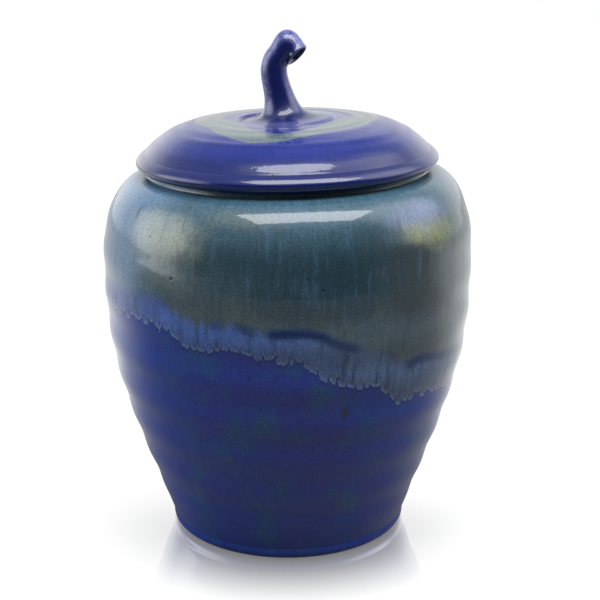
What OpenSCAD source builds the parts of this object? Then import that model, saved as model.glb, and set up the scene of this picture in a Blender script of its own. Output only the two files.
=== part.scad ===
// Lidded stoneware urn: a wheel-thrown jar and a domed lid whose knob is a curled gourd stem.
// Millimetres, +Z up. The origin is the centre of the foot ring, on the table.

/* [Jar] */
// Widest diameter of the jar
belly_d = 190; // [150:1:240]
// Height of the widest line above the table
belly_h = 148.4; // [110:0.1:190]
// Height from the widest line to the top of the shoulder
shoulder_rise = 40; // [28:0.5:56]
// Thickness of the thrown wall
wall_t = 6.5; // [4:0.1:9]
// Thickness of the floor
floor_t = 8; // [5:0.5:14]
// Radius of the corner between floor and wall, inside
floor_corner = 12; // [4:1:20]
// Angle of the wall from upright where it leaves the foot
foot_flare = 21.9; // [10:0.1:30]
// Fullness of the wall just above the foot
foot_fullness = 0.6; // [0.3:0.01:0.8]
// Fullness of the wall just below the widest line
belly_fullness = 0.324; // [0.1:0.01:0.6]
// Fullness of the shoulder just above the widest line
shoulder_fullness = 0.615; // [0.3:0.01:0.9]
// Fullness of the shoulder where it runs in to the collar
collar_fullness = 0.53; // [0.2:0.01:0.8]

/* [Foot] */
// Diameter over the rounded foot
foot_d = 124; // [100:1:150]
// Height at which the wall leaves the foot
foot_h = 8; // [7.5:0.5:12]
// Radius of the rounded edge of the foot
foot_bead_r = 3.6; // [2:0.1:4.2]
// Step from the foot out to the wall
foot_step = 0.6; // [0:0.1:2]
// Width of the bare ring that touches the table
foot_ring_w = 8; // [5:0.5:12]
// Depth of the turned recess under the floor
foot_recess = 3; // [1:0.5:5]

/* [Throwing rings] */
// Height from one finger ring to the next
ring_pitch = 19; // [12:0.5:30]
// Depth of the hollows between the rings
ring_depth = 0.7; // [0:0.1:1.5]

/* [Collar] */
// Diameter of the mouth
mouth_d = 129; // [100:1:140]
// Thickness of the collar round the mouth
collar_t = 6.7; // [5:0.1:10]
// Ledge between the collar and the shoulder
collar_ledge = 1.5; // [0.5:0.1:4]
// Height of the lid's seat above the shoulder
collar_h = 2.4; // [1.6:0.1:6]
// Lean of the collar and the lid towards -X
rim_lean = 1.11; // [0:0.01:1.3]

/* [Lid] */
// Overhang of the lid past the collar
lid_overhang = 5.5; // [4.5:0.1:9]
// Height of the lid's crown above its seat
lid_h = 23.8; // [19:0.1:35]
// Radius of the rolled rim
rim_bead_r = 4; // [3:0.1:4.5]
// Thickness of the lid
lid_t = 6.5; // [4:0.1:8]
// Angle of the dome above the rolled rim
dome_angle = 49; // [35:1:60]
// Fullness of the dome above the rolled rim
dome_fullness = 0.31; // [0.15:0.01:0.4]
// Fullness of the dome's flat crown
crown_fullness = 0.64; // [0.3:0.01:0.75]
// Depth of the flange that drops into the mouth
flange_depth = 8; // [4:0.5:14]
// Thickness of the flange
flange_t = 5; // [3:0.5:7]
// Gap between the flange and the mouth, all round
fit_gap = 1.2; // [0.5:0.1:2.5]

/* [Stem] */
// Radius of the stem along its middle
stem_r = 6.5; // [5:0.1:9]
// Height of the crook above the lid's crown
crook_h = 26.9; // [22:0.1:36]
// Extra radius where the stem melts into the crown
flare_r = 7.6; // [3:0.1:12]
// Height over which that flare dies away
flare_h = 5.8; // [3:0.1:9]
// Length of the curve's handle at the crook: the longer, the more the stem bows to -X
stem_bow = 12.2; // [4:0.1:15]
// Extra reach of the curled tip over the crook
crook_bulge = 4.5; // [2:0.1:7]
// Turn of the tip towards -Y
tip_turn = 26; // [0:1:40]
// Depth of the dimple in the cut end
dimple_depth = 2.6; // [1:0.1:4]

/* [Hidden] */
$fn = 180;

glaze_blue = [0.16, 0.20, 0.50];
glaze_lilac = [0.30, 0.31, 0.62];

belly_r = belly_d / 2;
foot_r = foot_d / 2;
contact_r = foot_r - foot_bead_r;
mouth_r = mouth_d / 2;
collar_r = mouth_r + collar_t;
shoulder_r = collar_r + collar_ledge;
shoulder_h = belly_h + shoulder_rise;
seat_h = shoulder_h + collar_h;
floor_h = foot_recess + floor_t;
ceiling_h = shoulder_h - wall_t;
lid_r = collar_r + lid_overhang;
flange_r = mouth_r - fit_gap;
flange_in_r = flange_r - flange_t;
overrun = 1;          // how far a cut runs past the face it starts from

// A cubic curve through p[0] and p[3], and its slope
function bezier(p, t) =
    pow(1 - t, 3) * p[0] + 3 * pow(1 - t, 2) * t * p[1] + 3 * (1 - t) * t * t * p[2] + pow(t, 3) * p[3];
function slope(p, t) =
    3 * pow(1 - t, 2) * (p[1] - p[0]) + 6 * (1 - t) * t * (p[2] - p[1]) + 3 * t * t * (p[3] - p[2]);
function unit(v) = v / norm(v);
function left_of(v) = [-v[1], v[0]];
// Points along a curve, each moved to its left by inset, in count steps
function outline(p, count, inset = 0) =
    [for (i = [0 : count]) let (t = i / count) bezier(p, t) + inset * left_of(unit(slope(p, t)))];
function arc(centre, r, from, to, step) =
    [for (a = [from : step : to]) centre + r * [cos(a), sin(a)]];

// The jar's wall in two curves: foot to widest line, and widest line to shoulder
wall_start = [foot_r + foot_step, foot_h];
wall_rise = belly_h - foot_h;
lower_wall = [
    wall_start,
    wall_start + foot_fullness * wall_rise * [sin(foot_flare), cos(foot_flare)],
    [belly_r, belly_h - belly_fullness * wall_rise],
    [belly_r, belly_h]];
upper_wall = [
    [belly_r, belly_h],
    [belly_r, belly_h + shoulder_fullness * shoulder_rise],
    [shoulder_r + collar_fullness * (belly_r - shoulder_r), shoulder_h],
    [shoulder_r, shoulder_h]];
lower_steps = 42;
upper_steps = 16;

// Finger rings: shallow hollows that fade out at the foot and at the shoulder
function ring_hollow(h) =
    let (fade = max(0, min(1, (h - foot_h) / ring_pitch, (shoulder_h - h) / ring_pitch)))
    fade * ring_depth * (1 - cos(360 * (belly_h - h) / ring_pitch)) / 2;
function ringed(points) = [for (p = points) [p[0] - ring_hollow(p[1]), p[1]]];

module jar_outside() {
    foot_edge = arc([contact_r, foot_bead_r], foot_bead_r, -90, 40, 10);
    rotate_extrude()
        polygon(concat(
            [[0, foot_recess], [contact_r - foot_ring_w - foot_recess / 2, foot_recess],
             [contact_r - foot_ring_w, 0]],
            foot_edge,
            ringed(outline(lower_wall, lower_steps)),
            ringed([for (i = [1 : upper_steps]) bezier(upper_wall, i / upper_steps)]),
            [[0, shoulder_h]]));
}

module jar_hollow() {
    inner_lower = outline(lower_wall, lower_steps, wall_t);
    inner_upper = outline(upper_wall, upper_steps, wall_t);
    corner_h = floor_h + floor_corner;
    corner_r = lookup(corner_h, [for (p = inner_lower) [p[1], p[0]]]) - floor_corner;
    rotate_extrude()
        polygon(concat(
            [[0, floor_h]],
            arc([corner_r, corner_h], floor_corner, -90, 0, 15),
            [for (p = inner_lower) if (p[1] > corner_h + 1) p],
            [for (i = [1 : upper_steps]) inner_upper[i]],
            [[0, ceiling_h]]));
}

// Puts what is drawn round the seat's centre onto the leaning seat
module on_seat() {
    translate([0, 0, seat_h]) rotate([0, -rim_lean, 0]) children();
}

module jar() {
    collar_root = collar_h + wall_t - 2;      // keeps the collar's foot inside the wall
    mouth_depth = collar_h + wall_t + 2 * mouth_r * sin(rim_lean) + overrun;
    color(glaze_blue)
    difference() {
        union() {
            jar_outside();
            on_seat() translate([0, 0, -collar_root]) cylinder(r = collar_r, h = collar_root);
        }
        jar_hollow();
        on_seat() translate([0, 0, -mouth_depth]) cylinder(r = mouth_r, h = mouth_depth + overrun);
    }
}

// The lid's dome as one curve, from the rolled rim in to the crown
rim_centre = [lid_r - rim_bead_r, rim_bead_r];
dome_start = rim_centre + (rim_bead_r - 0.35) * [cos(72), sin(72)];
dome = [
    dome_start,
    dome_start + dome_fullness * dome_start[0] * [-cos(dome_angle), sin(dome_angle)],
    [crown_fullness * dome_start[0], lid_h],
    [0, lid_h]];
dome_steps = 20;

module lid_shell() {
    under = [for (p = outline(dome, dome_steps, lid_t)) if (p[0] < flange_in_r - 1 && p[0] > 1) p];
    flange_edge = 1.2;
    rotate_extrude()
        polygon(concat(
            [[0, lid_h - lid_t]],
            [for (i = [len(under) - 1 : -1 : 0]) under[i]],
            [[flange_in_r, under[0][1] - 1], [flange_in_r, flange_edge - flange_depth],
             [flange_in_r + flange_edge, -flange_depth], [flange_r - flange_edge, -flange_depth],
             [flange_r, flange_edge - flange_depth], [flange_r, 0]],
            arc(rim_centre, rim_bead_r, -90, 70, 10),
            [for (i = [0 : dome_steps]) bezier(dome, i / dome_steps)]));
}

// The stem's centre line in the XZ plane: it rises, bows towards -X, and ends at the crook
crook = [2.8, lid_h + crook_h];
crook_turn = [144, 46];             // direction from the crook to the back of the stem: start, end
stem_foot = [-1.8, lid_h - 3];
stem_end = crook + stem_r * [cos(crook_turn[0]), sin(crook_turn[0])];
stem_line = [
    stem_foot,
    stem_foot + 0.52 * (stem_end[1] - stem_foot[1]) * [0, 1],
    stem_end - stem_bow * [sin(180 - crook_turn[0]), cos(180 - crook_turn[0])],
    stem_end];
stem_sides = 24;
stem_rings = 16;
tip_rings = 12;

// One ring of the skin: across is its direction in the XZ plane, wide and deep its half widths
function ring(centre, across, wide, deep, turn = 0) =
    [for (i = [0 : stem_sides - 1])
        let (a = 360 * i / stem_sides,
             x = across[0] * wide * cos(a),
             y = deep * sin(a))
        [centre[0] + x * cos(turn) - y * sin(turn),
         centre[1] + x * sin(turn) + y * cos(turn),
         centre[2] + across[1] * wide * cos(a)]];

function stem_ring(t) =
    let (c = bezier(stem_line, t),
         r = stem_r + flare_r * exp(-max(0, c[1] - lid_h) / flare_h))
    ring([c[0], 0, c[1]], left_of(unit(slope(stem_line, t))), r, r);

// The tip fans round the crook: reach is the distance from the crook to the stem's back
function tip_ring(u, scale = 1, sink = 0) =
    let (a = crook_turn[0] + u * (crook_turn[1] - crook_turn[0]),
         turn = -tip_turn * u * u,
         reach = 2 * stem_r + crook_bulge * pow(sin(180 * u), 2),
         out = [cos(a), sin(a)],
         mid = reach / 2 * out - sink * [sin(a), -cos(a)])
    ring([crook[0] + mid[0] * cos(turn), mid[0] * sin(turn), crook[1] + mid[1]],
         out, scale * reach / 2, scale * stem_r, turn);

function flat(lists) = [for (one = lists, item = one) item];

module stem() {
    rings = concat(
        [for (i = [0 : stem_rings - 1]) stem_ring(i / stem_rings)],
        [for (i = [0 : tip_rings]) tip_ring(i / tip_rings)],
        [tip_ring(1, 0.94, -0.5), tip_ring(1, 0.8, -0.4),
         tip_ring(1, 0.66, 0.55 * dimple_depth), tip_ring(1, 0.36, dimple_depth)]);
    last = len(rings) - 1;
    sides = [for (k = [0 : last - 1], i = [0 : stem_sides - 1])
        let (j = (i + 1) % stem_sides, lower = k * stem_sides, upper = lower + stem_sides)
        [[lower + i, lower + j, upper + j], [lower + i, upper + j, upper + i]]];
    base_cap = [[for (i = [stem_sides - 1 : -1 : 0]) i]];
    end_cap = [[for (i = [0 : stem_sides - 1]) last * stem_sides + i]];
    polyhedron(points = flat(rings), faces = concat(flat(sides), base_cap, end_cap));
}

module lid() {
    color(glaze_lilac)
    on_seat() {
        lid_shell();
        stem();
    }
}

jar();
lid();
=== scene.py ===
# %% [markdown]
# # A lidded stoneware urn
# A wheel-thrown jar in cobalt-blue glaze, with a second, sage-green glaze that has run down from its
# shoulder, and a domed lid whose knob is a pulled and curled gourd stem. Each cell below makes one thing,
# and says first what it is on the real object and how it is made here.
#
# The model that holds the true sizes is loaded first and never changed. Everything is drawn around it, in
# the same frame: metres, +Z up, the urn standing on z = 0 with its axis on the Z axis.

# %% Load the sized model
import math
import bpy
import bmesh
import numpy as np
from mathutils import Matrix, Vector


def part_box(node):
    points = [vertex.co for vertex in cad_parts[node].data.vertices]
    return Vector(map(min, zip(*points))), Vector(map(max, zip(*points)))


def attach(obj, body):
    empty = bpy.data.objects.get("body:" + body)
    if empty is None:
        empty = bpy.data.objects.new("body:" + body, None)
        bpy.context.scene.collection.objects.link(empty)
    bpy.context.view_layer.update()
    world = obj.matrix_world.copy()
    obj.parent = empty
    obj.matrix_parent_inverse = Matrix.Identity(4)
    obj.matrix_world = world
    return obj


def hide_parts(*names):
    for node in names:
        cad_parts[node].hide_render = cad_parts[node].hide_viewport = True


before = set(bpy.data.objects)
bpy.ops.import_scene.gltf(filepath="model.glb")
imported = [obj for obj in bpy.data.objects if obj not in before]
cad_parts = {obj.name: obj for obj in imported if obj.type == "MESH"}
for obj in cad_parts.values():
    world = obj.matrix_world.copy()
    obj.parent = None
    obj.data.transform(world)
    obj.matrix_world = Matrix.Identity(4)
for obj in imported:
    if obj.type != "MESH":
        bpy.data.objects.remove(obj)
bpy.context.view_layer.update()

MM = 0.001

# %% [markdown]
# ## The camera
# The urn was seen from a little above its lid, with a longish lens from about three and a half urn
# widths away, so that the lid shows as a flat ellipse and the foot as a rounder one. The camera is placed
# by its distance, height and downward tilt, all in real units, and turned slightly aside so that the
# urn stands a touch left of the middle of the frame.

# %% Camera
CAMERA_DISTANCE = 0.6897
CAMERA_HEIGHT = 0.3217
CAMERA_DOWN = math.radians(16.38)
CAMERA_ASIDE = math.radians(0.529)
LENS_MM = 82.2
SENSOR_MM = 36.0

bpy.ops.object.camera_add(
    location=(0, -CAMERA_DISTANCE, CAMERA_HEIGHT),
    rotation=(math.pi / 2 - CAMERA_DOWN, 0, -CAMERA_ASIDE))
camera = bpy.context.object
camera.name = "camera"
camera.data.lens = LENS_MM
camera.data.sensor_width = SENSOR_MM
bpy.context.scene.camera = camera
print("camera", round(CAMERA_DISTANCE, 3), "m away,", round(math.degrees(CAMERA_DOWN), 1), "degrees down")

# %% [markdown]
# ## Small helpers for modelling
# An operator works on whatever is selected, so every step starts from a clean selection. `edit` opens one
# object in edit mode with everything selected, and `leave` closes it again.

# %% Selection helpers
def only(piece):
    """Selects one object and nothing else."""
    if bpy.context.object and bpy.context.object.mode != "OBJECT":
        bpy.ops.object.mode_set(mode="OBJECT")
    bpy.ops.object.select_all(action="DESELECT")
    piece.select_set(True)
    bpy.context.view_layer.objects.active = piece


def edit(piece, kind="mesh"):
    """Opens one object in edit mode with all of it selected."""
    only(piece)
    bpy.ops.object.mode_set(mode="EDIT")
    getattr(bpy.ops, kind).select_all(action="SELECT")


def leave():
    bpy.ops.object.mode_set(mode="OBJECT")


def size_of(piece):
    points = np.array([v.co[:] for v in piece.data.vertices]) / MM
    return [round(float(v), 1) for v in (*points.min(0), *points.max(0))]

# %% [markdown]
# ## Drawing a profile, as a potter's rib
# A thrown pot is a profile turned round its axis. The profile is drawn as one Bezier curve in the XZ
# plane: each point has a place and two handles, so that a long even curve needs only two points, and a
# crisp edge is a point without handles. Drawing it as a curve keeps the long wall truly smooth, where a
# chain of straight extrusions would show its facets in a glossy glaze.
#
# A handle is given as a step away from its point, in millimetres. A missing handle makes a sharp corner.

# %% Profile helper
CURVE_STEPS = 8          # straight pieces that each span of a profile is made of
WELD = 0.02 * MM         # points closer than this are made one


def draw_profile(name, points, cuts):
    """points: [(radius, height, step in, step out)]; cuts: {span: extra cuts} on the longer spans."""
    bpy.ops.object.select_all(action="DESELECT")
    bpy.ops.curve.primitive_bezier_curve_add(location=(0, 0, 0))
    profile = bpy.context.object
    profile.name = name
    profile.data.dimensions = "3D"
    profile.data.resolution_u = CURVE_STEPS
    spline = profile.data.splines[0]
    spline.bezier_points.add(len(points) - 2)
    for knot, (r, z, step_in, step_out) in zip(spline.bezier_points, points):
        knot.co = (r * MM, 0, z * MM)
        knot.handle_left_type = "FREE" if step_in else "VECTOR"
        knot.handle_right_type = "FREE" if step_out else "VECTOR"
        if step_in:
            knot.handle_left = ((r + step_in[0]) * MM, 0, (z + step_in[1]) * MM)
        if step_out:
            knot.handle_right = ((r + step_out[0]) * MM, 0, (z + step_out[1]) * MM)
    for span in sorted(cuts, reverse=True):
        edit(profile, "curve")
        bpy.ops.curve.select_all(action="DESELECT")
        for knot in profile.data.splines[0].bezier_points[span:span + 2]:
            knot.select_control_point = True
        bpy.ops.curve.subdivide(number_cuts=cuts[span])
        leave()
    only(profile)
    bpy.ops.object.convert(target="MESH")
    return profile


def spin_round(profile, steps):
    """Turns the profile round the Z axis and closes its seam and its poles."""
    edit(profile)
    bpy.ops.mesh.remove_doubles(threshold=WELD)
    bpy.ops.mesh.select_all(action="SELECT")
    bpy.ops.mesh.spin(steps=steps, angle=2 * math.pi, center=(0, 0, 0), axis=(0, 0, 1))
    bpy.ops.mesh.select_all(action="SELECT")
    bpy.ops.mesh.remove_doubles(threshold=WELD)
    bpy.ops.mesh.select_all(action="SELECT")
    bpy.ops.mesh.normals_make_consistent(inside=False)
    leave()

# %% [markdown]
# ## The jar's sizes
# The jar's wall leaves a small rounded foot at a slant, swells to its widest line at three quarters of
# its height, and turns in over a full shoulder to a short collar that carries the lid. Underneath, the
# foot ring is turned flat and the floor is recessed a little. The sizes are the sized model's own.
#
# The profile runs from the middle of the underside, up the outside, over the seat, and down the inside
# to the middle of the floor. The wall and the shoulder are its two long spans, so they get extra cuts.

# %% Jar sizes, in millimetres
BELLY_R, BELLY_H = 95.0, 148.4
SHOULDER_R, SHOULDER_H = 72.7, 188.4
FOOT_R, FOOT_H, FOOT_BEAD = 62.0, 8.0, 3.6
FOOT_RING_W, FOOT_RECESS = 8.0, 3.0
WALL_T, FLOOR_T = 6.5, 8.0
MOUTH_R, COLLAR_R, SEAT_H = 64.5, 71.2, 190.8
FLARE = math.radians(21.9)   # slant of the wall where it leaves the foot
WALL_START_R = FOOT_R + 0.6
WALL_RISE = BELLY_H - FOOT_H
ROUND = 0.5523           # handle length of a quarter circle, as a share of its radius

jar_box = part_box("jar")
print("sized jar is", [round((hi - lo) / MM, 1) for lo, hi in zip(*jar_box)], "mm")
print("this jar is ", 2 * BELLY_R, "mm wide, its seat", SEAT_H, "mm high")

# %% Throw the jar
contact_r = FOOT_R - FOOT_BEAD
bead = ROUND * FOOT_BEAD
ceiling_h = SHOULDER_H - WALL_T
floor_h = FOOT_RECESS + FLOOR_T
wall_leaves = (0.6 * WALL_RISE * math.sin(FLARE), 0.6 * WALL_RISE * math.cos(FLARE))
WALL_SPAN, SHOULDER_SPAN = 7, 8
jar_points = [
    # the recess underneath, and the foot ring
    (0, FOOT_RECESS, None, None),
    (contact_r - FOOT_RING_W - 1.5, FOOT_RECESS, None, None),
    (contact_r - FOOT_RING_W, 0.6, None, (0, -0.4)),
    (contact_r - FOOT_RING_W + 0.8, 0, (-0.4, 0), None),
    (contact_r, 0, None, (bead, 0)),
    # the foot's rounded edge, the wall, the belly and the shoulder
    (FOOT_R, FOOT_BEAD, (0, -bead), (0, 1.0)),
    (FOOT_R - 0.15, 5.9, (0.0, -0.8), (0.0, 0.5)),
    (WALL_START_R, FOOT_H, (-0.35, -0.85), wall_leaves),
    (BELLY_R, BELLY_H, (0, -0.324 * WALL_RISE), (0, 0.615 * (SHOULDER_H - BELLY_H))),
    (SHOULDER_R, SHOULDER_H, (0.53 * (BELLY_R - SHOULDER_R), 0), (-0.5, 0)),
    # the collar, the flat seat and the mouth
    (COLLAR_R, SHOULDER_H + 0.5, (0.2, -0.4), None),
    (COLLAR_R, SEAT_H - 0.8, None, (0, 0.45)),
    (COLLAR_R - 0.8, SEAT_H, (0.45, 0), None),
    (MOUTH_R + 0.8, SEAT_H, None, (-0.45, 0)),
    (MOUTH_R, SEAT_H - 0.8, (0, 0.45), None),
    (MOUTH_R, ceiling_h + 2, None, (0, -1.1)),
    # inside: under the shoulder, down the wall, and the floor
    (MOUTH_R + 2, ceiling_h, (-1.1, 0), (12, 0)),
    (BELLY_R - WALL_T, BELLY_H, (0, 20), (0, -45)),
    (62.5, floor_h + 12, (24, 55), (-2, -6)),
    (51, floor_h, (6, 0), None),
    (0, floor_h, None, None)]
jar = draw_profile("jar_thrown", jar_points, cuts={WALL_SPAN: 11, SHOULDER_SPAN: 4})
print("profile points:", len(jar.data.vertices))
JAR_STEPS = 400
spin_round(jar, JAR_STEPS)
print("jar:", len(jar.data.polygons), "faces,", size_of(jar), "mm")

# %% [markdown]
# ## Marks of the wheel
# A thrown wall isn't a perfect turning. The potter's fingers climb it in a slow spiral and leave one soft
# ridge a turn, and the shoulder of this jar leans a hair to one side, so its mouth and its lid lean with
# it. Both are moved into the mesh itself, because a glossy glaze shows them in its outline and in every
# reflection. The glaze's own thickness is added too: the second glaze lies a quarter of a millimetre
# proud, down to a wandering line where it stopped running.
#
# The line is drawn as stations round the jar (degrees from the front, height in millimetres).

# %% Where the second glaze stopped
RUN_STATIONS = [
    (-180, 101), (-160, 98), (-140, 104), (-120, 116), (-100, 123), (-75, 127.5), (-60, 130), (-45, 131.5),
    (-39, 130.5), (-33, 125.5), (-27, 122), (-16, 123.5), (-9, 120.5), (1, 120), (5, 117), (10, 111.5),
    (15, 107), (22, 104), (30, 102), (34, 94), (38, 91), (43, 93.5), (55, 90), (72, 87), (95, 91),
    (115, 102), (130, 106), (150, 97), (165, 103), (180, 101)]
PALE_BAND = 9.5          # height of the pale band that edges it, on the thin side
PALE_BAND_EXTRA = 6.5    # and what it grows by where the glaze ran thicker


def glaze_stop(azimuth):
    """Height of the second glaze's edge, in millimetres, at an azimuth in degrees from the front."""
    at, height = zip(*RUN_STATIONS)
    softened = [np.interp((azimuth + aside + 180) % 360 - 180, at, height) for aside in (-2, -1, 0, 1, 2)]
    return np.mean(softened, axis=0)


def ease(value, low, high):
    """0 below low, 1 above high, and an even S between."""
    t = np.clip((value - low) / (high - low), 0, 1)
    return t * t * (3 - 2 * t)


print("the second glaze stops between", min(h for _, h in RUN_STATIONS), "and",
      max(h for _, h in RUN_STATIONS), "mm")

# %% Reading and writing a mesh's points
def points_of(piece):
    flat = np.empty(len(piece.data.vertices) * 3)
    piece.data.vertices.foreach_get("co", flat)
    return flat.reshape(-1, 3) / MM


def set_points(piece, points):
    piece.data.vertices.foreach_set("co", (points * MM).ravel())
    piece.data.update()


def note(piece, name, values):
    """Keeps one number for each point of the mesh, for its glaze to read."""
    layer = piece.data.attributes.new(name, "FLOAT", "POINT")
    layer.data.foreach_set("value", np.asarray(values, dtype=np.float32))


def outward(piece):
    """How far each point's normal leans away from the axis, from -1 to 1."""
    normals = np.empty(len(piece.data.vertices) * 3)
    piece.data.vertex_normals.foreach_get("vector", normals)
    normals = normals.reshape(-1, 3)
    points = points_of(piece)
    radius = np.maximum(np.hypot(points[:, 0], points[:, 1]), 0.01)
    return (normals[:, 0] * points[:, 0] + normals[:, 1] * points[:, 1]) / radius

# %% Put the wheel marks on the jar
RIDGE_PITCH = 21.3       # climb of the finger spiral in one turn
RIDGE_TOP = 124.0        # height of one of its crests at the front
RIDGE_DEPTH = 0.75
UNEVEN = 0.25            # how far the wall wanders, inwards only
RIM_LEAN = math.radians(1.11)
GLAZE_THICK = 0.25

points = points_of(jar)
x, y, z = points.T
radius = np.hypot(x, y)
azimuth = np.degrees(np.arctan2(x, -y))
outside = ease(outward(jar), -0.1, 0.2) * ease(z, 6.5, 30) * (radius > 50)
turns = (z - RIDGE_TOP) / RIDGE_PITCH + azimuth / 360
hollow = 0.5 - 0.5 * np.cos(2 * math.pi * turns)
depth = RIDGE_DEPTH * (1 - 0.35 * ease(z, 110, 150)) * (1 - ease(z, 168, 186))
uneven = 0.25 * np.cos(np.radians(3 * azimuth) + z / 31) + 0.2 * np.cos(np.radians(2 * azimuth) - z / 17)
glazed = GLAZE_THICK * ease(z - glaze_stop(azimuth), -1.5, 1.5)
wander = UNEVEN * (1 + uneven) * (1 - ease(z, 168, 186))
pull_in = outside * (depth * hollow + wander + GLAZE_THICK - glazed)
scale = 1 - pull_in / np.maximum(radius, 1)
x, y = x * scale, y * scale

leaning = ease(z, 150, SHOULDER_H)
x, z = x - leaning * (z - SEAT_H) * math.sin(RIM_LEAN), z + leaning * x * math.sin(RIM_LEAN)
set_points(jar, np.stack([x, y, z], axis=1))
azimuth = np.degrees(np.arctan2(x, -y))
above = z - glaze_stop(azimuth)
note(jar, "above_stop", above)
ran_thick = ease(azimuth, -2, 11) * (1 - ease(azimuth, 110, 150))
note(jar, "above_band", above - PALE_BAND - PALE_BAND_EXTRA * ran_thick)
print("ridges", RIDGE_DEPTH, "mm deep; the shoulder leans", round(math.degrees(RIM_LEAN), 2), "degrees")
print("jar now:", size_of(jar), "mm")

# %% [markdown]
# ## The lid
# The lid is thrown upside down like a shallow bowl, turned over, and trimmed. Its rim is rolled to a
# bead, its crown is nearly flat, and underneath it is hollow, with a flange that drops into the mouth.
# It is drawn round its own axis with its seat at zero and is laid on the leaning seat at the end.
# The profile stops short of the axis: the hole left in the crown is where the stem is pulled up.

# %% Lid sizes, in millimetres
LID_R, LID_H, LID_T = 76.7, 23.8, 6.5
RIM_BEAD = 4.0
FLANGE_R, FLANGE_T, FLANGE_DEPTH = 63.3, 5.0, 8.0
STEM_HOLE_R = 25.0
lid_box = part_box("lid")
print("sized lid is", [round((hi - lo) / MM, 1) for lo, hi in zip(*lid_box)], "mm")

# %% Throw the lid
flange_in = FLANGE_R - FLANGE_T
rim_r = LID_R - RIM_BEAD
roll = ROUND * RIM_BEAD
CEILING_SPAN, DOME_SPAN = 0, 11
lid_points = [
    # underneath: the hollow, and the flange that drops into the mouth
    (0, LID_H - LID_T, None, (30, 0)),
    (flange_in - 2, 13.5, (-9, 3.5), (1.6, -0.7)),
    (flange_in, 10.5, (0, 1.6), None),
    (flange_in, 1.5 - FLANGE_DEPTH, None, (0, -0.8)),
    (flange_in + 1.5, -FLANGE_DEPTH, (-0.8, 0), None),
    (FLANGE_R - 1.5, -FLANGE_DEPTH, None, (0.8, 0)),
    (FLANGE_R, 1.5 - FLANGE_DEPTH, (0, -0.8), None),
    (FLANGE_R, 0, None, None),
    # the seat, the rolled rim and the dome
    (rim_r - 1, 0, None, (1, 0)),
    (LID_R, RIM_BEAD, (0, -roll), (0, 1.5)),
    (rim_r + 1.8, 7.35, (1.0, -1.0), (-0.6, 0.35)),
    (72.9, 8.35, (0.5, -0.1), (-12.5, 13.6)),
    (STEM_HOLE_R, LID_H, (25, 0), None)]
lid = draw_profile("lid_thrown", lid_points, cuts={CEILING_SPAN: 1, DOME_SPAN: 6})
print("profile points:", len(lid.data.vertices))
LID_STEPS = 288
spin_round(lid, LID_STEPS)
print("lid:", len(lid.data.polygons), "faces,", size_of(lid), "mm")

# %% [markdown]
# ## The stem
# The knob is a coil of clay pulled up from the crown like the stem of a gourd. It leaves the crown in a
# wide fillet, bows to one side, curls over at its crook, and ends in an oblique cut with a dimple pressed
# in it. The open ring in the crown is extruded again and again, as by hand, and each new ring is set on the
# stem's centre line: first rings square to that line, then rings that fan round the crook.
#
# Extruding from the lid's own edge keeps the lid and its stem one skin, with no join to hide.

# %% Stem sizes, in millimetres above the seat
STEM_R = 6.5
FLARE_R, FLARE_H = 7.6, 5.8
FILLET_R, FILLET_H = 10.5, 0.8
CROOK_X, CROOK_Z = 1.8, LID_H + 27.1
CROOK_FROM, CROOK_TO = math.radians(138), math.radians(48)
CROOK_BULGE = 4.15
TIP_TURN = math.radians(26)
DIMPLE = 2.6
STEM_BOW = 10.2
STEM_RINGS, TIP_RINGS = 38, 26
# the rings that close the cut end: (share of its width, how far pushed in)
LIP_RINGS = ((0.985, -0.35), (0.95, -0.6), (0.9, -0.65), (0.85, -0.5), (0.8, -0.1), (0.76, 0.5),
             (0.7, 1.2), (0.6, 1.9), (0.46, 2.4), (0.3, DIMPLE), (0.14, DIMPLE))

crook = np.array([CROOK_X, CROOK_Z])
stem_foot = np.array([-1.8, LID_H - 3])
stem_end = crook + STEM_R * np.array([math.cos(CROOK_FROM), math.sin(CROOK_FROM)])
stem_line = [
    stem_foot,
    stem_foot + 0.52 * (stem_end[1] - stem_foot[1]) * np.array([0, 1]),
    stem_end - STEM_BOW * np.array([math.sin(CROOK_FROM), -math.cos(CROOK_FROM)]),
    stem_end]


def on_line(t):
    """The stem's centre at t, and its direction there, in the XZ plane."""
    p0, p1, p2, p3 = stem_line
    centre = (1 - t) ** 3 * p0 + 3 * (1 - t) ** 2 * t * p1 + 3 * (1 - t) * t ** 2 * p2 + t ** 3 * p3
    slope = (1 - t) ** 2 * (p1 - p0) + 2 * (1 - t) * t * (p2 - p1) + t ** 2 * (p3 - p2)
    return centre, slope / np.hypot(*slope)


def stem_ring(t):
    """Centre, across direction, half width, half depth and turn of a ring square to the line."""
    centre, slope = on_line(t)
    height = max(0.0, centre[1] - LID_H)
    half = STEM_R + FLARE_R * math.exp(-height / FLARE_H) + FILLET_R * math.exp(-height / FILLET_H)
    shift = 1.8 * math.exp(-height / 1.5)
    return centre + (shift, 0), np.array([slope[1], -slope[0]]), half, half, 0.0


def tip_ring(u, share=1.0, sink=0.0):
    """The same for a ring that fans round the crook; share narrows it and sink pushes it in."""
    a = CROOK_FROM + u * (CROOK_TO - CROOK_FROM)
    turn = -TIP_TURN * u * u
    out = np.array([math.cos(a), math.sin(a)])
    reach = 2 * STEM_R + CROOK_BULGE * math.sin(math.pi * u) ** 2
    centre = crook + reach / 2 * out - sink * np.array([out[1], -out[0]])
    return centre, -out, share * reach / 2, share * STEM_R, turn


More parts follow.
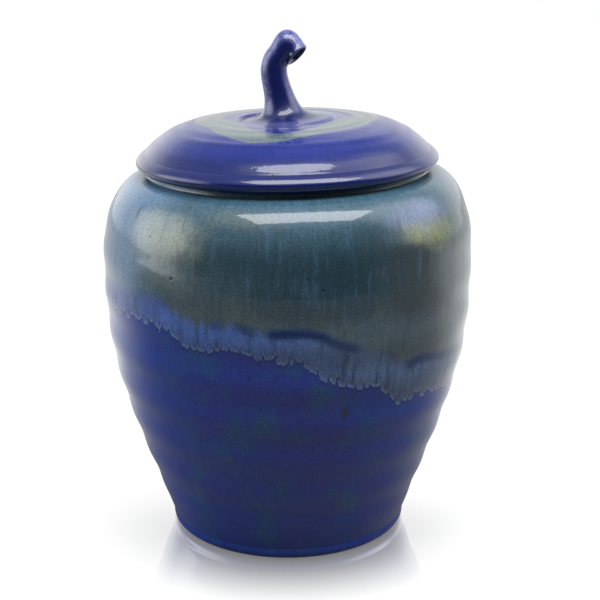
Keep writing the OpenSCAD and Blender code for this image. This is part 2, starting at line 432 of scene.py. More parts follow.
FIRST_RING_UP = 0.03
start = next(t for t in np.linspace(0, 1, 2000) if on_line(t)[0][1] > LID_H + FIRST_RING_UP)
rings = [stem_ring(start + (1 - start) * (step / STEM_RINGS) ** 1.6) for step in range(STEM_RINGS)]
rings += [tip_ring(step / TIP_RINGS) for step in range(TIP_RINGS + 1)]
rings += [tip_ring(1, share, sink) for share, sink in LIP_RINGS]
print("stem:", len(rings), "rings, crook", round(CROOK_Z - LID_H, 1), "mm above the crown")

# %% Pull up the stem
def point_on_ring(ring, angle):
    centre, across, wide, deep, turn = ring
    along_x = across[0] * wide * math.cos(angle)
    along_y = deep * math.sin(angle)
    middle_x = (centre[0] - crook[0]) * math.cos(turn) + crook[0]
    middle_y = (centre[0] - crook[0]) * math.sin(turn)
    return (
        middle_x + along_x * math.cos(turn) - along_y * math.sin(turn),
        middle_y + along_x * math.sin(turn) + along_y * math.cos(turn),
        centre[1] + across[1] * wide * math.cos(angle))


edit(lid)
bpy.ops.mesh.select_mode(type="EDGE")
bpy.ops.mesh.select_all(action="DESELECT")
skin = bmesh.from_edit_mesh(lid.data)
ring_angle = skin.verts.layers.float.new("ring_angle")
stem_length = skin.verts.layers.float.new("up_stem")
for edge in skin.edges:
    if edge.is_boundary:
        edge.select = True
for vert in skin.verts:
    vert[ring_angle] = math.atan2(vert.co.y, vert.co.x)
bmesh.update_edit_mesh(lid.data)
for count, ring in enumerate(rings):
    bpy.ops.mesh.extrude_region()
    skin = bmesh.from_edit_mesh(lid.data)
    ring_angle = skin.verts.layers.float["ring_angle"]
    stem_length = skin.verts.layers.float["up_stem"]
    for vert in skin.verts:
        if vert.select:
            vert.co = [v * MM for v in point_on_ring(ring, vert[ring_angle])]
            vert[stem_length] = (count + 1) / len(rings)
    bmesh.update_edit_mesh(lid.data)
bpy.ops.mesh.merge(type="CENTER")
bpy.ops.mesh.select_mode(type="VERT")
bpy.ops.mesh.select_all(action="SELECT")
bpy.ops.mesh.normals_make_consistent(inside=False)
leave()
print("lid and stem:", len(lid.data.polygons), "faces,", size_of(lid), "mm")

# %% Wheel marks on the lid, and laying it on its seat
LINE_PITCH = 9.5
LINE_DEPTH = 0.11

points = points_of(lid)
x, y, z = points.T
radius = np.hypot(x, y)
on_dome = ease(z, 7, 12) * ease(radius, STEM_HOLE_R, STEM_HOLE_R + 6) * (z > 8) * (radius < 72)
on_dome *= z > (LID_H - LID_T + 1) - 12 * ease(radius, 45, 72)
turns = radius / LINE_PITCH + np.arctan2(x, -y) / (2 * math.pi)
z = z - on_dome * (LINE_DEPTH - LINE_DEPTH * np.cos(2 * math.pi * turns))
note(lid, "from_axis", radius)
angles = np.empty(len(points))
lid.data.attributes["ring_angle"].data.foreach_get("value", angles)
note(lid, "stem_side", np.cos(angles))
set_points(lid, np.stack([x, y, z], axis=1))
only(lid)
lid.location = (0, 0, SEAT_H * MM)
lid.rotation_euler = (0, -RIM_LEAN, 0)
bpy.ops.object.transform_apply(location=True, rotation=True, scale=True)
print("lid on its seat:", size_of(lid), "mm")

# %% Smooth shading, with the turned edges kept crisp
CRISP = math.radians(40)
for piece in (jar, lid):
    only(piece)
    bpy.ops.object.shade_smooth_by_angle(angle=CRISP)

# %% [markdown]
# ## Small helpers for glaze recipes
# Each finish is a tree of nodes. A `Recipe` holds one tree and adds a node in one line, so that a recipe
# reads from top to bottom like a list of what is in the glaze. Colours are given as a potter's tile
# would be read off a chart, 0 to 255, and are turned into the linear values that the shader needs.
#
# A fired glaze is glass over clouded glass: the body of the shader is a little hazy, and a thin clear
# coat over it gives the sharp reflections.

# %% The recipe helper
GLASS_IOR = 1.5
HAZY_SPECULAR = 0.3
COAT_ROUGHNESS = 0.03
GIRTH_R = 90.0           # a mean radius of the jar, to turn an angle into millimetres


def tile(r, g, b):
    """A colour off the chart, as linear light."""
    def linear(c):
        c = c / 255
        return c / 12.92 if c <= 0.04045 else ((c + 0.055) / 1.055) ** 2.4
    return (linear(r), linear(g), linear(b), 1.0)


class Recipe:
    """A new material's tree of nodes, or a tree that is already there."""

    def __init__(self, name, tree=None):
        if tree is None:
            self.material = bpy.data.materials.new(name)
            self.material.use_nodes = True
            tree = self.material.node_tree
        self.tree = tree
        self.tree.nodes.clear()

    def put(self, kind, inputs=(), **settings):
        """Adds a node; inputs is {socket: a value or another node's output}."""
        node = self.tree.nodes.new("ShaderNode" + kind)
        for key, value in settings.items():
            setattr(node, key, value)
        for key, value in dict(inputs).items():
            if isinstance(value, bpy.types.NodeSocket):
                self.tree.links.new(value, node.inputs[key])
            else:
                node.inputs[key].default_value = value
        return node

    def sum(self, operation, a, b=0.0, c=0.0):
        return self.put("Math", {0: a, 1: b, 2: c}, operation=operation).outputs[0]

    def ease(self, value, low, high):
        """0 below low, 1 above high, and an even S between."""
        return self.put("MapRange", {"Value": value, "From Min": low, "From Max": high},
                        interpolation_type="SMOOTHSTEP").outputs["Result"]

    def clouds(self, vector, size, detail=3.0, rough=0.55, warp=0.0):
        """Soft noise from 0 to 1, with features about size millimetres across."""
        return self.put("TexNoise", {"Vector": vector, "Scale": 1 / size, "Detail": detail,
                                     "Roughness": rough, "Distortion": warp}).outputs["Fac"]

    def blend(self, share, a, b, how="MIX"):
        """Colour a where share is 0 and colour b where it is 1."""
        node = self.put("Mix", {"Factor": share}, data_type="RGBA", blend_type=how)
        for socket, value in ((node.inputs[6], a), (node.inputs[7], b)):
            if isinstance(value, bpy.types.NodeSocket):
                self.tree.links.new(value, socket)
            else:
                socket.default_value = value
        return node.outputs[2]

    def noted(self, name):
        return self.put("Attribute", attribute_name=name).outputs["Fac"]

    def place(self):
        """Where a point is, in millimetres: the vector, and its x, y and z."""
        vector = self.put("TexCoord").outputs["Object"]
        vector = self.put("VectorMath", {0: vector, "Scale": 1 / MM}, operation="SCALE").outputs[0]
        xyz = self.put("SeparateXYZ", {0: vector})
        return vector, xyz.outputs[0], xyz.outputs[1], xyz.outputs[2]

    def length(self, a, b):
        """The long side of a right-angled triangle with sides a and b."""
        return self.sum("SQRT", self.sum("ADD", self.sum("MULTIPLY", a, a), self.sum("MULTIPLY", b, b)))

    def vector(self, x, y, z):
        return self.put("CombineXYZ", {0: x, 1: y, 2: z}).outputs[0]

    def specks(self, vector, spacing, size, share):
        """1 inside scattered round specks, on a share of the cells of a net of that spacing."""
        cells = self.put("TexVoronoi", {"Vector": vector, "Scale": 1 / spacing})
        chosen = self.put("SeparateColor", {0: cells.outputs["Color"]})
        there = self.sum("LESS_THAN", chosen.outputs[0], share)
        grown = self.sum("MULTIPLY_ADD", chosen.outputs[1], size / spacing * 0.8, size / spacing * 0.4)
        edge = self.sum("SUBTRACT", grown, cells.outputs["Distance"])
        return self.sum("MULTIPLY", there, self.ease(edge, -0.02, 0.03))

    def patch(self, girth, pz, azimuth_deg, height, wide, tall, wobble):
        """1 inside a soft cloud at that azimuth and height, wide and tall millimetres across."""
        aside = self.sum("SUBTRACT", girth, math.radians(azimuth_deg))
        aside = self.sum("DIVIDE", self.sum("MULTIPLY", aside, GIRTH_R), wide / 2)
        above = self.sum("DIVIDE", self.sum("SUBTRACT", pz, height), tall / 2)
        away = self.sum("ADD", self.length(aside, above), wobble)
        return self.ease(away, 1.5, 0.3)

    def finish(self, colour, roughness, height, height_mm, coat=0.0):
        """The surface itself. height is a 0 to 1 relief that stands height_mm proud."""
        bump = self.put("Bump", {"Height": height, "Strength": 1.0, "Distance": height_mm * MM})
        glaze = self.put("BsdfPrincipled", {
            "Base Color": colour, "Roughness": roughness, "Normal": bump.outputs[0], "IOR": GLASS_IOR,
            "Specular IOR Level": HAZY_SPECULAR, "Coat Weight": coat, "Coat Roughness": COAT_ROUGHNESS})
        if coat:
            self.tree.links.new(bump.outputs[0], glaze.inputs["Coat Normal"])
        self.put("OutputMaterial", {"Surface": glaze.outputs[0]})

# %% [markdown]
# ## The jar's glaze
# Two glazes were used. The whole jar was dipped in a deep cobalt blue; then its shoulder was dipped in a
# sage green that melted and ran. Where the two meet, the green thins to a band of pale, milky blue, and
# its very edge breaks into small fingers, each a drop that froze as it ran. Above the band the green is
# streaked downwards and clouded, with cream where it lies thick on the shoulder. Both glazes are painted
# lighter down the left side as the light of the side glow there. The cream on the left shoulder is partly
# a painted reflection of that glow, the straw on the right shoulder is a painted reflection of the other
# glow, and a patch of deep sage at the front is a painted dark reflection of the room in front.
#
# The wandering line itself was noted on the mesh. The fingers are too fine for the mesh, so the recipe
# makes them: cells along the jar's girth give each finger its width, a random length hangs it below the
# line, and its rounded end comes from the distance to the cell's edge.
#
# Patterns that must meet themselves at the back are made on the skin's own place, or on how far a point
# lies to one side, because the angle round the axis jumps there from one end to the other. The fingers
# and the clouds of colour do follow the angle. The fingers fade out just before the jump. The clouds do
# not, so the lilac one at 170 degrees, which reaches past it, is cut off there in a straight line.

# %% Colours of the jar
# the blue, and the pale band where the green thinned over it
COBALT = tile(8, 52, 144)
COBALT_DEEP = tile(4, 34, 100)
COBALT_VIOLET = tile(28, 46, 142)
COBALT_TEAL = tile(16, 74, 128)
# a lighter blue, painted down the jar's left side as the light of the side glow
COBALT_LEFT_SHEEN = tile(30, 70, 186)
PALE_BLUE = tile(66, 98, 168)
PALE_GREY = tile(76, 100, 134)
DROP_RIM = tile(112, 134, 172)
BLUE_STRIP = tile(24, 48, 92)
# the green, and what clouds it
SAGE = tile(48, 72, 84)
# a deep sage, also painted at the front as the dark reflection of the room in front
SAGE_DEEP_AND_DARK_REFLECTION = tile(36, 62, 74)
SAGE_GREY = tile(54, 66, 72)
SAGE_LOW = tile(78, 96, 108)
SHOULDER_BLUE = tile(60, 92, 110)
# a lighter blue, painted down the left side as the light of the side glow, and also a streak colour
STREAK_AND_LEFT_SHEEN_BLUE = tile(82, 120, 156)
OLIVE = tile(80, 97, 99)
# cream glaze, also used as a painted reflection of the left glow on the left shoulder
CREAM_AND_SHEEN = tile(160, 168, 142)
STONE = tile(88, 106, 106)
# a painted reflection of the right glow on the right shoulder
STRAW_REFLECTION = tile(150, 158, 104)
LILAC = tile(104, 122, 164)
# specks, pinholes and the fine grain, which multiplies what is under it
IRON = tile(38, 34, 26)
PIT = tile(8, 12, 26)
GRAIN_DARK = (0.74, 0.77, 0.82, 1)
GRAIN_LIGHT = (1.3, 1.25, 1.19, 1)

# %% Where a point of the jar is
STREAK = 0.16            # heights are squeezed by this much, so that a pattern is drawn out downwards

g = Recipe("jar_glaze")
jar_glaze = g
where, px, py, pz = g.place()
girth = g.sum("ARCTAN2", px, g.sum("MULTIPLY", py, -1))
across = g.sum("MULTIPLY", girth, GIRTH_R)
reach = g.sum("MAXIMUM", g.length(px, py), 1.0)
to_side = g.sum("DIVIDE", px, reach)
round_x = g.sum("MULTIPLY", to_side, BELLY_R)
round_y = g.sum("MULTIPLY", g.sum("DIVIDE", py, reach), BELLY_R)
skin = g.vector(round_x, round_y, pz)
streaky = g.vector(round_x, round_y, g.sum("MULTIPLY", pz, STREAK))
off_seam = g.ease(g.sum("ABSOLUTE", girth), 3.12, 2.95)


# %% Fingers of melted glaze
GAP, END_ROUNDING = 0.05, 0.26    # shares of a finger's width
SHORTEST = 0.3                    # share of the longest finger's length


def fingers(width, length, seed):
    """Drops that hang from the line: each cell's random length, with rounded ends and gaps between."""
    wander = g.sum("MULTIPLY", g.clouds(skin, 5.0, detail=1.0), 0.35 * width)
    along = g.sum("ADD", g.sum("DIVIDE", g.sum("ADD", across, wander), width), seed)
    cells = {"W": along, "Scale": 1.0}
    cell = g.put("TexVoronoi", cells, voronoi_dimensions="1D")
    edge = g.put("TexVoronoi", cells, voronoi_dimensions="1D", feature="DISTANCE_TO_EDGE")
    hang = g.put("SeparateColor", {0: cell.outputs["Color"]}).outputs[0]
    inner = g.sum("DIVIDE", g.sum("SUBTRACT", edge.outputs["Distance"], GAP), END_ROUNDING)
    inner = g.sum("SUBTRACT", 1.0, g.sum("MAXIMUM", g.sum("MINIMUM", inner, 1.0), 0.0))
    rounded = g.sum("SQRT", g.sum("SUBTRACT", 1.0, g.sum("MULTIPLY", inner, inner)))
    longest = g.sum("MULTIPLY_ADD", hang, (1 - SHORTEST) * length, SHORTEST * length)
    return g.sum("MULTIPLY", g.sum("MULTIPLY", rounded, longest), off_seam)


above_stop = g.noted("above_stop")
above_band = g.noted("above_band")
hanging_drops = g.sum("ADD", fingers(4.6, 4.8, 3.1), fingers(1.8, 1.2, 7.7))
to_drop = g.sum("ADD", above_stop, hanging_drops)
covered = g.ease(to_drop, -0.1, 0.3)

# %% The cobalt under everything
large = g.clouds(skin, 60, detail=2.0)
patches = g.clouds(skin, 22, detail=4.0, rough=0.6)
fine = g.clouds(skin, 2.4, detail=4.0, rough=0.7)
runs = g.clouds(streaky, 3.2, detail=5.0, rough=0.65)
blue = g.blend(g.ease(large, 0.38, 0.66), COBALT, COBALT_VIOLET)
blue = g.blend(g.ease(patches, 0.46, 0.72), blue, COBALT_TEAL)
blue = g.blend(g.sum("MULTIPLY", g.ease(fine, 0.45, 0.8), 0.6), blue, COBALT_DEEP)
# painted light: the blue is lighter down the left side, where the side glow falls
blue = g.blend(g.sum("MULTIPLY", g.ease(to_side, -0.48, -0.95), 0.4), blue, COBALT_LEFT_SHEEN)
shadow_line = g.sum("MULTIPLY", g.ease(to_drop, -2.4, -0.2), 0.6)
blue = g.blend(shadow_line, blue, COBALT_DEEP)

# %% The pale edge of the green
to_right = g.ease(to_side, -0.48, 0.56)
pale = g.blend(to_right, PALE_BLUE, PALE_GREY)
pale = g.blend(g.ease(runs, 0.4, 0.8), pale, BLUE_STRIP)
drop_rim = g.sum("MULTIPLY", g.ease(to_drop, 2.2, 0.3), g.ease(runs, 0.25, 0.6))
pale = g.blend(g.sum("MULTIPLY", drop_rim, 0.8), pale, DROP_RIM)

# %% The green above it
wobble = g.sum("MULTIPLY_ADD", g.clouds(skin, 14, detail=5.0, rough=0.65), 1.8, -0.9)
sage = g.blend(g.ease(large, 0.35, 0.62), SAGE, SAGE_DEEP_AND_DARK_REFLECTION)
sage = g.blend(g.ease(to_side, 0.25, 0.72), sage, SAGE_GREY)
low = g.sum("MULTIPLY", g.ease(above_band, 34, 14), 0.5)
sage = g.blend(low, sage, SAGE_LOW)
near_band = g.ease(g.sum("ADD", above_band, g.sum("MULTIPLY", runs, 10.0)), 30, 6)
mottled = g.sum("MULTIPLY", g.ease(patches, 0.4, 0.66), 0.7)
sage = g.blend(g.sum("MULTIPLY", near_band, mottled), sage, OLIVE)
shoulder_top = g.ease(g.sum("ADD", pz, g.sum("MULTIPLY", wobble, 8.0)), 166, 184)
sage = g.blend(shoulder_top, sage, SHOULDER_BLUE)
# painted light: the green turns a lighter blue down the left side, where the side glow falls
left_sheen = g.ease(g.sum("ADD", to_side, g.sum("MULTIPLY", wobble, 0.13)), -0.52, -0.87)
sage = g.blend(left_sheen, sage, STREAK_AND_LEFT_SHEEN_BLUE)

# %% Clouds in the green, some of them painted reflections and painted light
# the straw rows and part of the cream at -41 are painted reflections of the side glows
# azimuth in degrees from the front, then height, width and tallness in millimetres, colour and share
# the deep sage at 10 is a painted dark reflection of the room in front; the left blue at -63 is painted
# light
CLOUDS_AND_PAINTED_LIGHT = (
    (-41, 169, 44, 24, CREAM_AND_SHEEN, 0.45), (-38, 152, 34, 14, STONE, 0.75), (-63, 148, 30, 30, STREAK_AND_LEFT_SHEEN_BLUE, 0.8),
    (-16, 181, 40, 7, STONE, 0.6), (47, 178, 44, 12, LILAC, 0.75), (52, 170, 30, 14, STRAW_REFLECTION, 0.55),
    (68, 158, 44, 40, STONE, 0.8), (40, 172, 16, 10, STRAW_REFLECTION, 0.4), (10, 150, 70, 26, SAGE_DEEP_AND_DARK_REFLECTION, 0.7),
    (122, 160, 60, 34, CREAM_AND_SHEEN, 0.5), (-128, 166, 70, 26, STONE, 0.7), (170, 172, 60, 20, LILAC, 0.5))
for azimuth, height, wide, tall, tint, share in CLOUDS_AND_PAINTED_LIGHT:
    cloud = g.patch(girth, pz, azimuth, height, wide, tall, wobble)
    sage = g.blend(g.sum("MULTIPLY", cloud, share), sage, tint)
sage = g.blend(g.sum("MULTIPLY", g.ease(runs, 0.5, 0.75), 0.5), sage, SAGE_DEEP_AND_DARK_REFLECTION)
sage = g.blend(g.sum("MULTIPLY", g.ease(runs, 0.5, 0.25), 0.3), sage, STREAK_AND_LEFT_SHEEN_BLUE)
sage = g.blend(g.sum("MULTIPLY", g.ease(fine, 0.52, 0.8), 0.3), sage, SAGE_DEEP_AND_DARK_REFLECTION)
strip = g.sum("MULTIPLY", g.ease(above_band, -4.0, 0.0), g.ease(above_band, 4.5, 1.0))
strip = g.sum("MULTIPLY", strip, g.ease(g.clouds(streaky, 30, detail=2.0), 0.42, 0.56))
thinning = g.sum("ADD", above_band, g.sum("MULTIPLY_ADD", runs, 12.0, -6.0))
green = g.blend(g.ease(thinning, -3.5, 3.5), pale, sage)
green = g.blend(strip, green, BLUE_STRIP)
colour = g.blend(covered, blue, green)

# %% Pinholes, iron specks and the relief
pits = g.specks(skin, 7.0, 0.8, 0.4)
iron = g.specks(g.vector(round_x, round_y, g.sum("MULTIPLY", pz, 0.55)), 26.0, 1.8, 0.2)
colour = g.blend(g.sum("MULTIPLY", pits, 0.8), colour, PIT)
colour = g.blend(g.sum("MULTIPLY", iron, g.ease(fine, 0.3, 0.6)), colour, IRON)
IRON_SPOT = (17.5, 88, 3.2, 6.0)     # azimuth, height, width and tallness of the one large spot
iron_spot = g.patch(girth, pz, *IRON_SPOT, g.sum("MULTIPLY_ADD", fine, 3.0, -1.6))
colour = g.blend(g.sum("MULTIPLY", iron_spot, 0.85), colour, IRON)
grain = g.ease(g.clouds(skin, 0.9, detail=2.0, rough=0.8), 0.36, 0.64)
colour = g.blend(1.0, colour, g.blend(grain, GRAIN_DARK, GRAIN_LIGHT), how="MULTIPLY")
haze = g.sum("MULTIPLY_ADD", covered, 0.04, 0.3)
relief = g.sum("ADD", g.sum("MULTIPLY", covered, 0.5), g.sum("MULTIPLY", fine, 0.05))
relief = g.sum("ADD", relief, g.sum("MULTIPLY", g.clouds(skin, 11, detail=2.0), 0.4))
relief = g.sum("SUBTRACT", relief, g.sum("MULTIPLY", pits, 0.4))
jar_glaze.finish(colour, haze, relief, 0.3, coat=0.8)
print("jar glaze:", len(g.tree.nodes), "nodes")

# %% [markdown]
# ## The lid's glaze
# The lid has the same blue, more lilac where it is thin, and one turn of the sage green poured round the
# stem as the lid was spun, so the band is a swirl and not a ring. The stem is navy blue, with a painted
# lilac sheen down both sides where the side glows light it, and the blue pools in a ring at its foot.
# Towards its rolled rim the lid is painted darker, as the shade where the dome turns down. The seat, the
# flange and the inside are left bare.

# %% Lid glaze
LID_BLUE = tile(3, 36, 124)
LID_LILAC = tile(32, 46, 136)
LID_NAVY = tile(9, 26, 84)
LID_DISC = tile(66, 72, 132)
SWIRL_SAGE = tile(92, 110, 112)
STEM_NAVY = tile(18, 28, 84)
# the lilac sheen painted down the stem's lit sides
STEM_SIDE_SHEEN = tile(108, 116, 184)

g = Recipe("lid_glaze")
lid_glaze = g
where, px, py = g.place()[:3]
girth = g.sum("ARCTAN2", px, g.sum("MULTIPLY", py, -1))
reach = g.noted("from_axis")
up_stem = g.noted("up_stem")
stem_side = g.noted("stem_side")
fine = g.clouds(where, 2.2, detail=4.0, rough=0.7)
patches = g.clouds(where, 18, detail=4.0, rough=0.6)
wheel_lines = g.clouds(g.vector(reach, 0.0, 0.0), 2.6, detail=2.0)
colour = g.blend(g.ease(patches, 0.4, 0.7), LID_BLUE, LID_LILAC)
colour = g.blend(g.sum("MULTIPLY", g.ease(wheel_lines, 0.45, 0.7), 0.4), colour, LID_NAVY)
colour = g.blend(g.sum("MULTIPLY", g.ease(fine, 0.5, 0.8), 0.5), colour, LID_NAVY)
# painted shade: the lid darkens to navy towards its rolled rim, where the dome turns down and the gap under
# it is in shadow
rim_painted_shade = g.ease(reach, 60, 73)
colour = g.blend(g.sum("MULTIPLY", rim_painted_shade, 0.75), colour, LID_NAVY)

# %% The swirl of green on the lid, and the blue of the stem
def swell(middle_deg, half_deg, tall):
    """A bulge of the swirl's edge, tall millimetres at its middle."""
    off = g.sum("ABSOLUTE", g.sum("SUBTRACT", girth, math.radians(middle_deg)))
    return g.sum("MULTIPLY", g.ease(off, math.radians(half_deg), 0.0), tall)


ragged = g.sum("MULTIPLY_ADD", g.clouds(where, 12, detail=4.0), 4.0, -2.0)
behind = g.ease(g.sum("ABSOLUTE", girth), 1.2, 2.0)
outer_edge = g.sum("ADD", swell(-15, 48, 11.0), ragged)
outer_edge = g.sum("ADD", g.sum("MULTIPLY_ADD", behind, 6.0, 43.5), outer_edge)
inner_edge = g.sum("ADD", swell(-6, 52, 15.0), ragged)
inner_edge = g.sum("ADD", g.sum("MULTIPLY_ADD", behind, 9.0, 26.0), inner_edge)
within = g.ease(g.sum("SUBTRACT", outer_edge, reach), -0.6, 1.0)
beyond = g.ease(g.sum("SUBTRACT", reach, inner_edge), -1.2, 2.0)
colour = g.blend(g.ease(reach, 38, 26), colour, LID_DISC)
swirl = g.sum("MULTIPLY", within, beyond)
colour = g.blend(g.sum("MULTIPLY", swirl, g.ease(fine, 1.0, 0.45)), colour, SWIRL_SAGE)
pool = g.sum("MULTIPLY", g.ease(reach, 20, 15), g.ease(up_stem, 0.3, 0.05))
colour = g.blend(pool, colour, LID_NAVY)
colour = g.blend(g.ease(up_stem, 0.03, 0.2), colour, STEM_NAVY)

# %% Painted lilac sheen on the stem's sides, grain, pinholes and relief
# painted sheen: both sides of the stem are painted lilac, as the side glows light them
right_sheen = g.sum("MULTIPLY", g.ease(stem_side, 0.4, 0.9), 0.7)
lit_stem_sides = g.sum("ADD", g.ease(stem_side, -0.25, -0.85), right_sheen)
on_stem = g.sum("MULTIPLY", g.ease(up_stem, 0.06, 0.25), g.ease(fine, 0.2, 0.62))
painted_side_sheen = g.sum("MULTIPLY", lit_stem_sides, on_stem)
colour = g.blend(g.sum("MULTIPLY", painted_side_sheen, 0.75), colour, STEM_SIDE_SHEEN)
grain = g.ease(g.clouds(where, 0.9, detail=2.0, rough=0.8), 0.36, 0.64)
colour = g.blend(1.0, colour, g.blend(grain, GRAIN_DARK, GRAIN_LIGHT), how="MULTIPLY")
pits = g.specks(where, 9.0, 0.8, 0.35)
colour = g.blend(g.sum("MULTIPLY", pits, 0.8), colour, PIT)
relief = g.sum("MULTIPLY", g.clouds(where, 8, detail=2.0), 0.4)
relief = g.sum("ADD", relief, g.sum("MULTIPLY", fine, 0.05))
relief = g.sum("SUBTRACT", relief, g.sum("MULTIPLY", pits, 0.4))
lid_glaze.finish(colour, 0.3, relief, 0.25, coat=0.8)
print("lid glaze:", len(g.tree.nodes), "nodes")

# %% [markdown]
# ## Bare and liner surfaces
# The inside of the jar has a thin liner glaze, and the lid's seat, flange and hollow are bare, fired
# stoneware: a warm buff, matt, with fine sand in it.

# %% Liner glaze and bare stoneware
liner_glaze = Recipe("liner_glaze")
g = liner_glaze
where = g.place()[0]
grain = g.clouds(where, 3.0, detail=4.0, rough=0.7)
colour = g.blend(g.ease(grain, 0.35, 0.7), tile(40, 52, 100), tile(28, 36, 78))
liner_glaze.finish(colour, 0.25, grain, 0.12, coat=0.5)

bare_stoneware = Recipe("bare_stoneware")
g = bare_stoneware
where = g.place()[0]
sand = g.clouds(where, 0.8, detail=3.0, rough=0.8)
colour = g.blend(g.ease(sand, 0.4, 0.7), tile(172, 146, 112), tile(132, 106, 80))
bare_stoneware.finish(colour, 0.75, sand, 0.12)

# %% Put the finishes on
def dress(piece, finishes, which):
    """finishes: the materials in order; which(radius, height, outward, up) gives a face's number."""
    piece.data.materials.clear()
    for recipe in finishes:
        piece.data.materials.append(recipe.material)
    counts = [0] * len(finishes)
    for face in piece.data.polygons:
        cx, cy, cz = (v / MM for v in face.center)
        r = max(math.hypot(cx, cy), 0.01)
        face.material_index = which(r, cz, (face.normal.x * cx + face.normal.y * cy) / r, face.normal.z)
        counts[face.material_index] += 1
    return counts


def jar_face(r, h, out, up):
    """0 is glazed, 1 has the liner glaze, 2 is bare: the foot's underside and the recess in it."""
    if h < 0.3 or (h < FOOT_RECESS + 1 and r < FOOT_R - 4):
        return 2
    ceiling = up < -0.3 and h > ceiling_h - 15
    floor = up > 0.05 and floor_h - 1 < h < floor_h + 13 and r < 63
    return 1 if out < -0.05 or ceiling or floor else 0


def lid_face(r, h, out, up):
    """0 is glazed, 1 is bare: the seat, the flange and the hollow under the dome."""
    local = h - SEAT_H
    seat = r < rim_r - 0.5 and local < 1.5
    hollow = r < flange_in + 0.5 and up < -0.2 and local < LID_H - LID_T + 1
    flange_inside = r < flange_in + 0.5 and out < 0 and local < 12
    return 1 if seat or hollow or flange_inside else 0


print("jar faces, glazed, lined and bare:", dress(jar, (jar_glaze, liner_glaze, bare_stoneware), jar_face))
print("lid faces, glazed and bare:", dress(lid, (lid_glaze, bare_stoneware), lid_face))

# %% [markdown]
# ## Tie the pieces to the sized model
# Each piece rides on the model's one body and stands for its own sized piece, which is hidden.

# %% Ride and replace
for piece, node, finish_slot in ((jar, "jar", "jar_glaze"), (lid, "lid", "lid_glaze")):
    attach(piece, "root")
    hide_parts(node)

# %% [markdown]
# ## The studio
# The urn stands on a white table in front of a white sweep. What a glaze looks like is mostly what it
# reflects, so the room matters more than the lamps: the white sweep and the white table behind give both
# pale edges, the dark room in front leaves the middle of the jar its own deep colour, soft glows at both
# sides brighten the shoulders, and one box light, hung just in front of the urn, gives the sharp patch
# on the shoulder and on the rim of the lid.
#
# The room is the world's own light, so it has no walls to get in the way of another view. To the eye it
# is plain white from every side.
#
# The table's top is not the same to every ray. The eye sees it burnt out to white, and in front of the
# foot as a mirror that fades away. The urn sees it grey in front and white behind.

# %% Table
TABLE_FRONT, TABLE_BACK, TABLE_HALF = -0.68, 3.0, 2.5
bpy.ops.object.select_all(action="DESELECT")
bpy.ops.mesh.primitive_plane_add(size=2.0, location=(0, (TABLE_FRONT + TABLE_BACK) / 2, 0))
table = bpy.context.object
table.name = "table"
table.scale = (TABLE_HALF, (TABLE_BACK - TABLE_FRONT) / 2, 1)
bpy.ops.object.transform_apply(location=True, rotation=True, scale=True)

# %% Table top
EYE_WHITE, JAR_GREY, JAR_WHITE, BURN_OUT = 0.12, 0.2, 0.9, 0.95
MIRROR_TINT, MIRROR_ROUGHNESS = (0.92, 0.92, 0.93, 1), 0.05
MIRROR_SHARE = 0.82
MIRROR_FULL, MIRROR_ENDS = 54, 122       # millimetres from the axis

table_top = Recipe("table_top")
g = table_top
px, py = g.place()[1:3]
seen = g.put("LightPath").outputs["Is Camera Ray"]
behind = g.ease(py, -60, 250)
to_jar = g.blend(behind, (JAR_GREY,) * 3 + (1,), (JAR_WHITE,) * 3 + (1,))
white = g.blend(seen, to_jar, (EYE_WHITE,) * 3 + (1,))
lit = g.put("BsdfDiffuse", {"Color": white}).outputs[0]
burnt = g.put("Emission", {"Strength": g.sum("MULTIPLY", seen, BURN_OUT)}).outputs[0]
lit = g.put("AddShader", {0: lit, 1: burnt}).outputs[0]
mirror = g.put("BsdfAnisotropic", {"Roughness": MIRROR_ROUGHNESS, "Color": MIRROR_TINT}).outputs[0]
in_front = g.sum("MULTIPLY", g.ease(py, 35, -35), g.sum("MULTIPLY", seen, MIRROR_SHARE))
polish = g.sum("MULTIPLY", g.ease(g.length(px, py), MIRROR_ENDS, MIRROR_FULL), in_front)
top = g.put("MixShader", {0: polish, 1: lit, 2: mirror}).outputs[0]
g.put("OutputMaterial", {"Surface": top})
table.data.materials.append(table_top.material)
print("table top:", len(g.tree.nodes), "nodes")

# %% Room light
SWEEP, SIDE, FRONT_DARK, ROOF = 0.8, 0.42, 0.03, 0.4
TO_THE_EYE = 1.0
# azimuth and height of each soft glow, its spread, all in degrees, and its power
GLOWS = ((-90, 14, 34, 2.8), (95, 36, 34, 2.1), (-142, 2, 32, 0.6), (142, 2, 32, 0.4))

world = bpy.data.worlds.new("room")
bpy.context.scene.world = world
world.use_nodes = True
g = Recipe("room", world.node_tree)
towards = g.put("TexCoord").outputs["Generated"]
ty, tz = g.put("SeparateXYZ", {0: towards}).outputs[1:3]


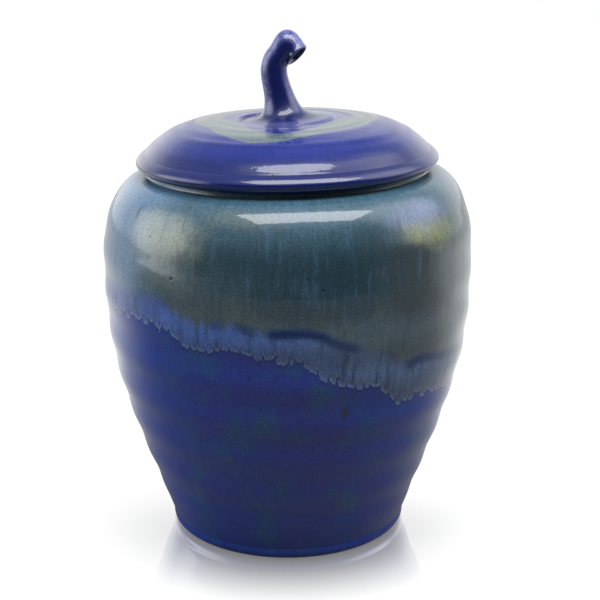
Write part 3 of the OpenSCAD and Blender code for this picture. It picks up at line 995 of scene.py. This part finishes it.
def soft_lamp(azimuth_deg, height_deg, spread_deg, power):
    """A soft round glow in the room, seen from the urn at that azimuth (0 in front, 90 to its right)."""
    azimuth, height = math.radians(azimuth_deg), math.radians(height_deg)
    middle = (math.sin(azimuth) * math.cos(height), -math.cos(azimuth) * math.cos(height), math.sin(height))
    near = g.put("VectorMath", {0: towards, 1: middle}, operation="DOT_PRODUCT").outputs["Value"]
    edge = math.cos(math.radians(spread_deg))
    return g.sum("MULTIPLY", g.ease(near, edge, 1.0), power)


glow = g.sum("ADD", FRONT_DARK, g.sum("MULTIPLY", g.ease(ty, -0.45, 0.55), SIDE - FRONT_DARK))
glow = g.sum("ADD", glow, g.sum("MULTIPLY", g.ease(ty, 0.45, 0.9), SWEEP - SIDE))
glow = g.put("Mix", {0: g.ease(tz, 0.45, 0.75), 2: glow, 3: ROOF}, data_type="FLOAT").outputs[0]
for azimuth, height, spread, power in GLOWS:
    glow = g.sum("ADD", glow, soft_lamp(azimuth, height, spread, power))
seen = g.put("LightPath").outputs["Is Camera Ray"]
strength = g.put("Mix", {0: seen, 2: glow, 3: TO_THE_EYE}, data_type="FLOAT").outputs[0]
background = g.put("Background", {"Color": (1, 1, 1, 1), "Strength": strength})
g.put("OutputWorld", {"Surface": background.outputs[0]})
print("room light:", len(g.tree.nodes), "nodes")

# %% Box light
BOX_BRIGHTNESS = 7.6
BOX_W, BOX_D = 0.9, 0.44
BOX_PLACE = (0.13, -0.35, 0.95)
BOX_TURN = math.radians(6)

bpy.ops.object.light_add(type="AREA", location=BOX_PLACE, rotation=(0, 0, BOX_TURN))
box_light = bpy.context.object
box_light.name = "box_light"
box_light.data.shape = "RECTANGLE"
box_light.data.size = BOX_W
box_light.data.size_y = BOX_D
box_light.data.energy = BOX_BRIGHTNESS * math.pi * BOX_W * BOX_D
print("box light", round(box_light.data.energy, 1), "W")

# %% [markdown]
# ## Show it
# The plain view keeps the colours as they were mixed.

# %% Colour view
bpy.context.scene.view_settings.view_transform = "Standard"
